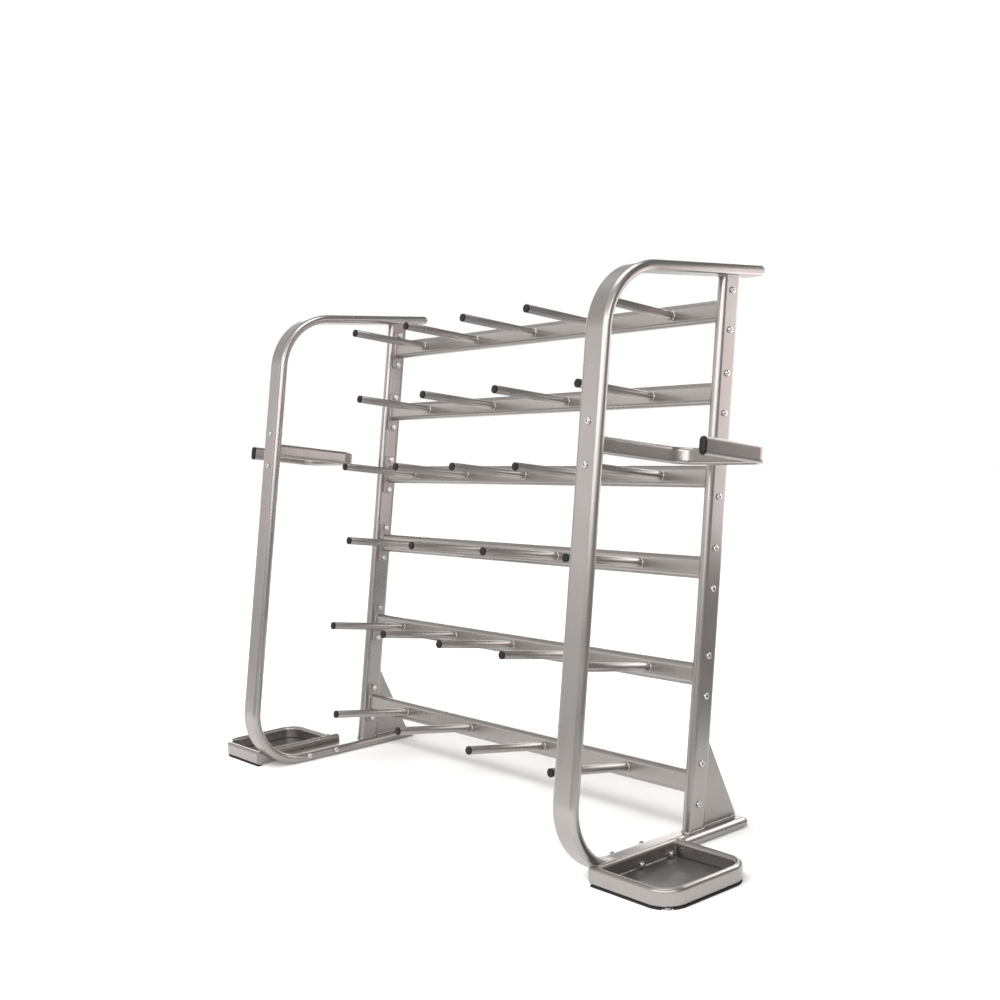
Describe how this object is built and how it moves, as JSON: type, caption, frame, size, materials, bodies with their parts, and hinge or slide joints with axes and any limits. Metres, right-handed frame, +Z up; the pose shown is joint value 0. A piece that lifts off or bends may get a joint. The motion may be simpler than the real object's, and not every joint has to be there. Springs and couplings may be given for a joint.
{
  "type": "weight plate and barbell rack",
  "caption": "Leaning steel rack with rows of pegs for weight plates, a tray at each end for bar ends and a U-shaped holder above each tray.",
  "frame": {"origin": "on the floor, under the middle of the rack's bounding box", "axes": "+X along the crossbars, towards the right-hand end seen from the front; +Y towards the rear; +Z up. The pegs point towards -Y and up"},
  "size_m": [2.1, 0.7896, 1.492],
  "materials": {
    "silver_paint": "satin silver-grey metallic powder coat",
    "plate_paint": "satin silver-grey metallic powder coat",
    "tray_floor_paint": "satin dark grey metallic powder coat",
    "zinc_steel": "bright zinc plate",
    "black_plastic": "satin black",
    "rubber": "matt black"
  },
  "bodies": {
    "root": {"right_side_frame": "silver_paint", "left_side_frame": "silver_paint", "right_frame_end_caps": "silver_paint", "left_frame_end_caps": "silver_paint", "right_rear_upright": "silver_paint", "left_rear_upright": "silver_paint", "right_gusset": "plate_paint", "left_gusset": "plate_paint", "crossbar_1": "silver_paint", "crossbar_2": "silver_paint", "crossbar_3": "silver_paint", "crossbar_4": "silver_paint", "crossbar_5": "silver_paint", "crossbar_6": "silver_paint", "right_end_plates": "plate_paint", "left_end_plates": "plate_paint", "right_upright_bolts": "zinc_steel", "left_upright_bolts": "zinc_steel", "right_upright_nuts": "zinc_steel", "left_upright_nuts": "zinc_steel", "pegs_1": "silver_paint", "pegs_2": "silver_paint", "pegs_3": "silver_paint", "pegs_4": "silver_paint", "pegs_5": "silver_paint", "pegs_6": "silver_paint", "peg_plugs_1": "black_plastic", "peg_plugs_2": "black_plastic", "peg_plugs_3": "black_plastic", "peg_plugs_4": "black_plastic", "peg_plugs_5": "black_plastic", "peg_plugs_6": "black_plastic", "right_bar_holder": "silver_paint", "left_bar_holder": "silver_paint", "right_holder_plate": "plate_paint", "left_holder_plate": "plate_paint", "right_holder_plug": "black_plastic", "left_holder_plug": "black_plastic", "right_holder_bolts": "zinc_steel", "left_holder_bolts": "zinc_steel", "right_holder_nuts": "zinc_steel", "left_holder_nuts": "zinc_steel", "right_tray_rim": "silver_paint", "left_tray_rim": "silver_paint", "right_tray_rail": "silver_paint", "left_tray_rail": "silver_paint", "right_rail_cap": "silver_paint", "left_rail_cap": "silver_paint", "right_tray_floor": "tray_floor_paint", "left_tray_floor": "tray_floor_paint", "right_tray_rubber": "rubber", "left_tray_rubber": "rubber", "right_tray_glide": "zinc_steel", "left_tray_glide": "zinc_steel", "right_tray_bolts": "zinc_steel", "left_tray_bolts": "zinc_steel", "right_tray_nuts": "zinc_steel", "left_tray_nuts": "zinc_steel"}
  },
  "joints": []
}
